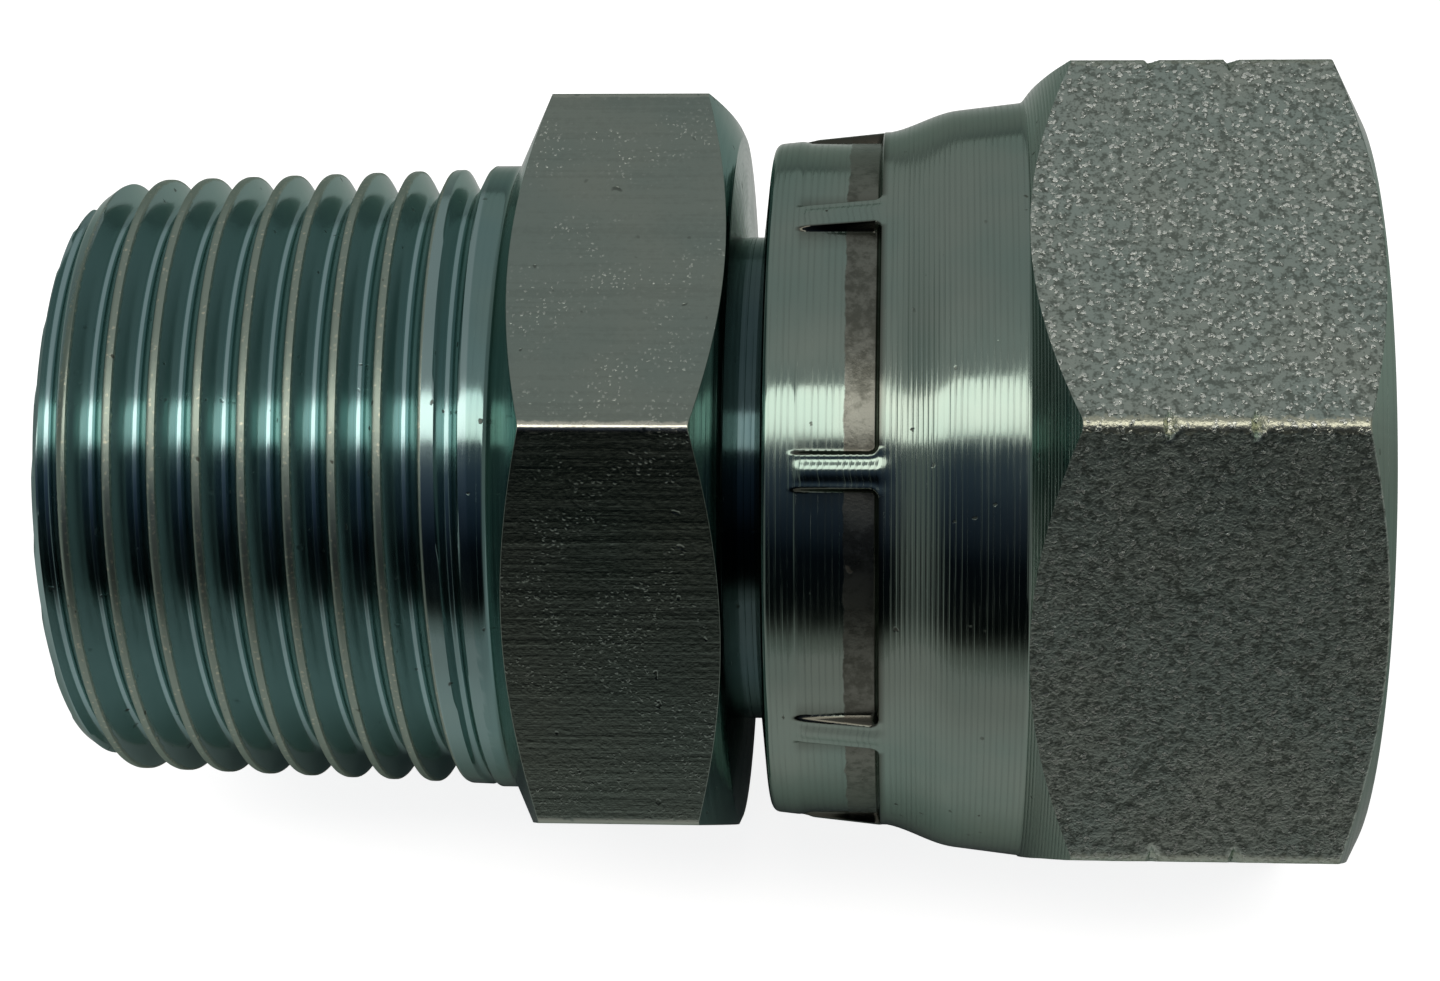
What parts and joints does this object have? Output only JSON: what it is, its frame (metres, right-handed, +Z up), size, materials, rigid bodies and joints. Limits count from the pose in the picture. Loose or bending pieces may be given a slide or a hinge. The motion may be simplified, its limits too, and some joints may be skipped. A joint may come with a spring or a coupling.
{
  "type": "hydraulic adapter",
  "caption": "Straight steel pipe adapter with a tapered male thread at one end and a free-turning, crimped-on hexagon nut with a parallel female thread at the other.",
  "frame": {"origin": "on the adapter's axis at the small end of the male thread", "axes": "+X along the axis from the male thread to the nut's mouth, +Z up, square to a flat of both hexagons"},
  "size_m": [0.0679, 0.0472, 0.041],
  "materials": {
    "body_plating": "bright turned steel with a blue-green passivated zinc plating",
    "nut_plating": "forged hexagon and turned barrel with a grey-green passivated zinc plating"
  },
  "bodies": {
    "body": {"adapter_body": "body_plating"},
    "nut": {"swivel_nut": "nut_plating"}
  },
  "joints": [
    {"name": "nut_spin", "type": "hinge", "parent": "body", "child": "nut", "pos_m": [0.0523, 0, 0], "axis": [1, 0, 0], "continuous": true}
  ]
}
